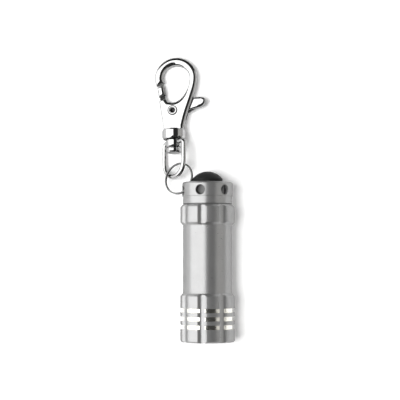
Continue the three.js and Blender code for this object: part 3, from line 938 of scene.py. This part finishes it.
def switch():
    can = [(0, 46.3), (6.3, 46.3, 0.15), (6.3, 50.6, 0.2)]
    can += [(2.3, 50.6, 0.2), (2.3, 47.6, 0.1), (0, 47.6)]
    piece = turned("switch_can", can, TORCH, sides=72)
    finished(piece, "tailcap", ["switch_housing"], [BLACK])
    band = [(3.1, 45.1, 0.1), (6.4, 45.1, 0.1), (6.4, 46.1, 0.1), (3.1, 46.1, 0.1)]
    ring = turned("switch_ring_turned", band, TORCH)
    half, front, back = 0.7, 44.7, 45.5
    notches = []
    for middle in (-4.8, 4.8):
        left, right = middle - half, middle + half
        outline = polygon((left, front), (right, front), (right, back), (left, back))
        notches.append(plate("notch", outline, -half, half, 0.0, TORCH))
    worked(ring, "DIFFERENCE", notches)
    finished(ring, "tailcap", ["switch_retaining_ring"], [BRASS])


# ------------------------------------------------------------ split ring and swivel
def split_ring():
    piece = coil(
        "split_ring_wire",
        section_of(0.54, 0.42, 0.13),
        RING_TURNS,
        lambda t: RING_RADIUS,
        lambda t: RING_PITCH * RING_TURNS * (t - 0.5),
        RING,
        144,
    )
    finished(piece, "ring", ["split_ring"], [RING_STEEL])


def swivel():
    corner, top = 1.2, -0.95
    end = 2.2  # inside the hub
    low = EYE_BOTTOM + EYE_HALF_WIDTH
    path = polygon((-end, top), (-EYE_HALF_WIDTH + corner, top))
    path += arc_points((-EYE_HALF_WIDTH + corner, top - corner), corner, 90, 180)
    path += arc_points((0, low), EYE_HALF_WIDTH, 180, 360)
    path += arc_points((EYE_HALF_WIDTH - corner, top - corner), corner, 0, 90)
    path += polygon((end, top))
    path = [p for i, p in enumerate(path) if i == 0 or np.linalg.norm(p - path[i - 1]) > 1e-3]
    path = densified(path, 0.4, closed=False)
    piece = swept("swivel_eye_wire", path, round_section(EYE_WIRE, 24), EYE)
    hub = [(0, -2.95), (2.6, -2.95, 0.1), (3.0, -2.3, 0.2)]
    hub += [(3.0, -0.5, 0.2), (2.8, -0.12, 0.1), (0, -0.12)]
    worked(piece, "UNION", [turned("hub", hub, EYE, sides=72)])
    bore = turned("bore", [(0, -7), (1.55, -7), (1.55, 3), (0, 3)], EYE, sides=48)
    worked(piece, "DIFFERENCE", [bore])
    finished(piece, "eye", ["swivel_eye"], [CHROME])
    post = [(0, -5.45), (1.4, -5.35, 0.4), (2.35, -5.1, 0.2), (2.8, -4.5, 0.2), (2.8, -3.6, 0.2)]
    post += [(2.5, -3.1, 0.1), (1.35, -3.1, 0.1), (1.35, 2.2, 0.1), (0, 2.2)]
    piece = turned("swivel_post_turned", post, HOOK, sides=72)
    finished(piece, "hook", ["swivel_post"], [CHROME])


# ------------------------------------------------------------ snap hook
def hook_outline():
    loop, loop_radius = (0.7, 23.35), 7.9
    hole, hole_radius = (0.87, 23.25), 4.95
    loop_side = loop[0] + loop_radius
    hole_side = hole[0] + hole_radius
    points = polygon((-3.7, 3.0))
    points += bezier_points((3.6, 3), (4.5, 10.75), (loop_side, 17.55), (loop_side, loop[1]))
    points += arc_points(loop, loop_radius, 0, 203)
    points += arc_points(hole, hole_radius, 200, 0)
    points += bezier_points((hole_side, hole[1]), (hole_side, 19.3), (2.9, 14.0), (-0.6, 14.0))
    points += polygon((-2.3, 14.2), (-3.2, 15.65), (-5.6, 14.55))
    return points


def pivot_place():
    return HOOK @ Matrix.Translation((*PIVOT, 0)) @ Matrix.Rotation(math.pi / 2, 4, "X")


def pivot_drill(radius):
    return turned("drill", [(0, -6), (radius, -6), (radius, 6), (0, 6)], pivot_place(), sides=48)


def hook_body():
    half = HOOK_THICKNESS / 2
    piece = plate("hook_body_cast", hook_outline(), -half, half, HOOK_EDGE, HOOK, 10, HOOK_DROP)
    collar = [(0, 0), (4.0, 0, 0.1), (4.45, 0.8, 0.2), (4.45, 3.1, 0.2), (4.1, 3.7, 0.1), (0, 3.7)]
    worked(piece, "UNION", [turned("collar", collar, HOOK)])
    opening = polygon(
        (-1.9, 8.55), (2.5, 7.55), (9.5, 6.35), (9.5, 16.45), (5.4, 15.85), (1.3, 14.35),
        (-0.6, 14.35), (-1, 17.05), (-9, 18.05), (-9, 14.95), (-5.9, 14.65),
    )
    slot = plate("slot", opening, -SLOT_HALF, SLOT_HALF, 0.0, HOOK)
    post_bore = turned("bore", [(0, -2), (1.5, -2), (1.5, 2.4), (0, 2.4)], HOOK, sides=48)
    worked(piece, "DIFFERENCE", [slot, pivot_drill(1.1), post_bore])
    finished(piece, "hook", ["hook_body"], [CHROME])


def on_painted_shade_arm(x, y, z):
    """Whether a place on the gate is on its arm, between the cheeks of the hook, and not on the tab: these
    faces get painted shade.
    """
    return abs(z) < 0.9 and x < 5.5


def gate():
    half = GATE_THICKNESS / 2
    outline = polygon(
        (-5.3, 15.25), (-2.6, 9.85), (-0.5, 8.65), (2, 8.85), (6.2, 10.45), (8.3, 11.65), (8.3, 15.15),
        (5.5, 14.85), (1.2, 12.95), (-1.6, 12.85), (-3.3, 15.85), (-3.8, 17.55), (-5.3, 17.55),
    )
    arm = plate("gate_lever_cast", outline, ARM_LOW, ARM_HIGH, 0.12, HOOK, 2)
    outline = polygon((-5.65, 16.05), (-3.15, 16.85), (-3.9, 21.05), (-6.3, 19.65))
    finger = plate("finger", outline, -half, half, 1.2, HOOK, 10, 0.9)
    outline = polygon((5.65, 11.0), (9.6, 12.0))
    outline += bezier_points((9.6, 12.0), (12.6, 12.8), (12.6, 15.95), (10, 15.95), 16)[1:]
    outline += polygon((7.15, 15.65))
    tab = plate("tab", outline, -half, half, 0.95, HOOK, 8, 0.6)
    worked(arm, "UNION", [finger, tab])
    worked(arm, "DIFFERENCE", [pivot_drill(1.15)])
    # painted shade on the arm between the hook's cheeks
    second_finish(arm, HOOK, on_painted_shade_arm)
    finished(arm, "gate", ["gate_lever"], [CHROME, PAINTED_SHADE_STEEL])


def gate_fittings():
    half = HOOK_THICKNESS / 2
    shank, head, rim = 0.95, 1.9, 1.5
    rivet = [
        (0, -half - 0.4),
        (1.6, -half - 0.4, 0.15),
        (head, -half - 0.1, 0.1),
        (shank, -half - 0.1, 0.05),
        (shank, half + 0.1, 0.05),
        (head, half + 0.05, 0.03),
        (rim, half + 0.4, 0.1),
        (rim - 0.35, half + 0.4, 0.12),
        (0.9, half - 0.5, 0.3),
        (0, half - 0.9),
    ]
    place = pivot_place()
    piece = turned("gate_rivet_turned", rivet, place, sides=64)
    # painted shade on the hollow and the skirt; only the rim of the head is bright chrome
    second_finish(piece, place, lambda x, y, z: y > half - 1 and not 1.05 < math.hypot(x, z) < 1.56)
    finished(piece, "hook", ["gate_rivet"], [CHROME, PAINTED_SHADE_STEEL])
    wire, radius, turns = 0.12, 1.45, 1.4
    low = ARM_HIGH + 0.08 + wire
    high = SLOT_HALF - 0.05 - wire
    section = round_section(wire, 10)
    piece = coil(
        "gate_spring_wire", section, turns, lambda t: radius, lambda t: low + (high - low) * t, place, 48
    )
    finished(piece, "hook", ["gate_spring"], [SPRING])


# ------------------------------------------------------------ build
barrel()
lamp()
reflector()
for led_index in range(LED_COUNT):
    led(led_index)
lamp_back()
spring("front_spring_wire", "front_contact_spring", "barrel", 14.4, 18.4, (3.4, 2.4), 3)
cells()
tailcap()
tail_seal()
button()
switch()
spring("tail_spring_wire", "tail_contact_spring", "tailcap", 40.5, 46.2, (2.0, 2.5), 4)
split_ring()
swivel()
hook_body()
gate()
gate_fittings()


# ------------------------------------------------------------ studio
KEY_RADIANCE = 2.4
FILL_RADIANCE = 0.58
WASH_RADIANCE = 27.0
CEILING = 0.04
HORIZON = 0.7
DIM_WALL = 0.05
FLOOR_GREY = 0.86
FLOOR_GLOW = 0.24
FLOOR_REACH = 4000.0  # mm
SENSOR_WIDTH = 36.0
LENS_LENGTH = 117.513
CAMERA_AT = (0.003346, -0.023771, 0.49)
CAMERA_AIM = (0.002058, -0.000954, 0.010)


def floor():
    material, tree, principled = shader("floor_paper", Roughness=0.9)
    principled.inputs["Base Color"].default_value = (*grey(FLOOR_GREY), 1)
    principled.inputs["Specular IOR Level"].default_value = 0.0
    principled.inputs["Emission Color"].default_value = (1, 1, 1, 1)
    principled.inputs["Emission Strength"].default_value = FLOOR_GLOW
    tooth = stretched_noise(tree, 900, (1, 1, 1), 3.0)
    bumped(tree, principled, (tooth, 0.00002, 0.1))
    reach = FLOOR_REACH
    corners = [(-reach, -reach, 0), (reach, -reach, 0), (reach, reach, 0), (-reach, reach, 0)]
    piece = object_of("floor", corners, [(0, 1, 2, 3)], Matrix.Scale(MM, 4))
    piece.data.materials.append(material)


def panel(name, near, far, length, radiance, tint=(1, 1, 1), along=0.0):
    """A rectangular light along Y, from near to far in XZ, facing the object, its middle at y = along."""
    near, far = Vector((near[0], 0, near[1])), Vector((far[0], 0, far[1]))
    data = bpy.data.lights.new(name, "AREA")
    data.shape = "RECTANGLE"
    data.size = (near - far).length
    data.size_y = length
    data.energy = radiance * math.pi * data.size * data.size_y
    data.color = tint
    light = bpy.data.objects.new(name, data)
    across = (far - near).normalized()
    back = across.cross(Vector((0, 1, 0)))
    if back.dot((near + far) / 2) < 0:
        back, across = -back, -across
    matrix = Matrix.Identity(4)
    for column, axis in enumerate((across, Vector((0, 1, 0)), back)):
        matrix.col[column] = (*axis, 0)
    matrix.translation = (near + far) / 2 + Vector((0, along, 0))
    light.matrix_world = matrix
    light.visible_camera = False
    bpy.context.scene.collection.objects.link(light)
    return light


def toward(degrees, distance):
    """A point in XZ at an angle from straight up, positive to the right."""
    angle = math.radians(degrees)
    return distance * math.sin(angle), distance * math.cos(angle)


def lights():
    """A large softbox on the left and a grey card on the right.

    The softbox is there to be reflected and gives no diffuse light. A small wash high up gives that, and
    isn't seen in reflections.
    """
    softbox = panel("softbox", toward(-9, 0.7), toward(-86, 0.7), 0.9, KEY_RADIANCE)
    panel("grey_card", toward(38, 0.7), toward(86, 0.7), 1.1, FILL_RADIANCE, (1, 0.985, 0.95))
    softbox.visible_diffuse = False
    wash = panel("wash", toward(-6, 1.2), toward(-25, 1.2), 0.45, WASH_RADIANCE, along=-0.08)
    wash.visible_glossy = False


def room():
    """A dark room with a pale wall behind the softbox."""
    world = bpy.data.worlds.new("room")
    bpy.context.scene.world = world
    world.use_nodes = True
    tree = world.node_tree
    place = node(tree, "ShaderNodeTexCoord")
    parts = node(tree, "ShaderNodeSeparateXYZ")
    tree.links.new(place.outputs["Generated"], parts.inputs["Vector"])
    wall = ranged(tree, parts.outputs["X"], HORIZON, DIM_WALL, -0.9, -0.3)
    level = node(tree, "ShaderNodeMapRange")
    tree.links.new(parts.outputs["Z"], level.inputs["Value"])
    level.inputs["From Min"].default_value = 0.05
    level.inputs["From Max"].default_value = 0.18
    tree.links.new(wall, level.inputs["To Min"])
    level.inputs["To Max"].default_value = CEILING
    tree.links.new(level.outputs["Result"], tree.nodes["Background"].inputs["Color"])


def camera():
    data = bpy.data.cameras.new("camera")
    data.sensor_width = SENSOR_WIDTH
    data.lens = LENS_LENGTH
    made = bpy.data.objects.new("camera", data)
    bpy.context.scene.collection.objects.link(made)
    made.location = CAMERA_AT
    back = (made.location - Vector(CAMERA_AIM)).normalized()
    right = Vector((0, 1, 0)).cross(back).normalized()
    up = back.cross(right)
    matrix = Matrix.Identity(4)
    for column, axis in enumerate((right, up, back)):
        matrix.col[column] = (*axis, 0)
    matrix.translation = made.location
    made.matrix_world = matrix
    bpy.context.scene.camera = made


floor()
lights()
room()
camera()
bpy.context.scene.view_settings.view_transform = "Standard"
